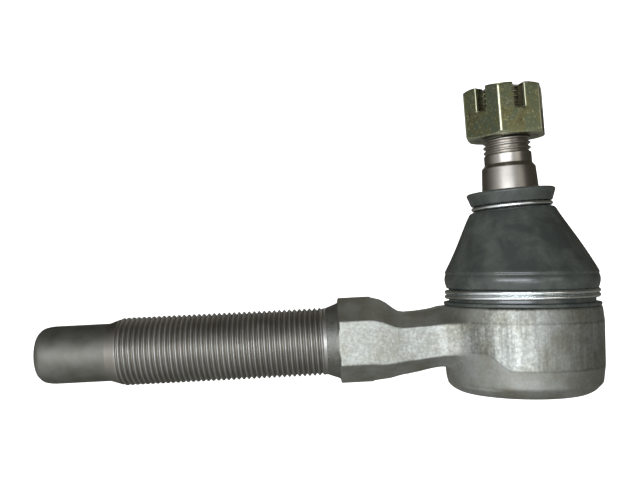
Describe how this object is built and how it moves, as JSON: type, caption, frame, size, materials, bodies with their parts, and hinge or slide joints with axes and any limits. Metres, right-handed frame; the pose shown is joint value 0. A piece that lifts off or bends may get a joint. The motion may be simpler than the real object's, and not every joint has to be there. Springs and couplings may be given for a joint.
{
  "type": "tie rod end",
  "caption": "Outer tie rod end: threaded forged shank with a hexagonal collar, ball socket, rubber boot, tapered ball stud and slotted nut.",
  "frame": {"origin": "centre of the ball", "axes": "threaded shank along -X, +Z square to it on the stud's side, +Y across; the socket's axis leans 2.3 degrees from +Z away from the shank"},
  "size_m": [0.167, 0.0468, 0.0908],
  "materials": {
    "forging": "shot-blasted forging with machined threads",
    "seat_polymer": "moulded acetal",
    "spring_steel": "blued spring steel",
    "plate_steel": "pressed steel plate",
    "stud_steel": "turned and ground steel",
    "yellow_zinc": "yellow passivated zinc plate",
    "boot_rubber": "moulded black rubber",
    "bright_wire": "bright zinc plated spring wire"
  },
  "bodies": {
    "housing": {"housing_forging": "forging", "upper_ball_seat": "seat_polymer", "preload_spring": "spring_steel", "end_plate": "plate_steel"},
    "pad": {"lower_ball_seat": "seat_polymer"},
    "boot": {"dust_boot": "boot_rubber", "boot_foot_ring": "bright_wire"},
    "lip": {"boot_lip_ring": "bright_wire"},
    "stud": {"ball_stud": "stud_steel"},
    "nut": {"castle_nut": "yellow_zinc"}
  },
  "joints": [
    {"name": "pad_preload", "type": "slide", "parent": "housing", "child": "pad", "axis": [0.0401, 0, 0.9992], "range_m": [-0.0004, 0], "stiffness_N_per_m": 4000, "springref_m": 0.001, "deforming": ["preload_spring"]},
    {"name": "boot_turn", "type": "hinge", "parent": "housing", "child": "boot", "pos_m": [0, 0, 0], "axis": [0.0401, 0, 0.9992], "continuous": true},
    {"name": "stud_tilt", "type": "hinge", "parent": "boot", "child": "lip", "pos_m": [0, 0, 0], "axis": [0, 1, 0], "range_deg": [-16.5, 23.5], "deforming": ["dust_boot"]},
    {"name": "stud_spin", "type": "hinge", "parent": "lip", "child": "stud", "pos_m": [0, 0, 0], "axis": [-0.0209, 0, 0.9998], "continuous": true},
    {"name": "nut_turn", "type": "hinge", "parent": "stud", "child": "nut", "pos_m": [-0.00136, 0, 0.06519], "axis": [-0.0209, 0, 0.9998], "continuous": true}
  ]
}
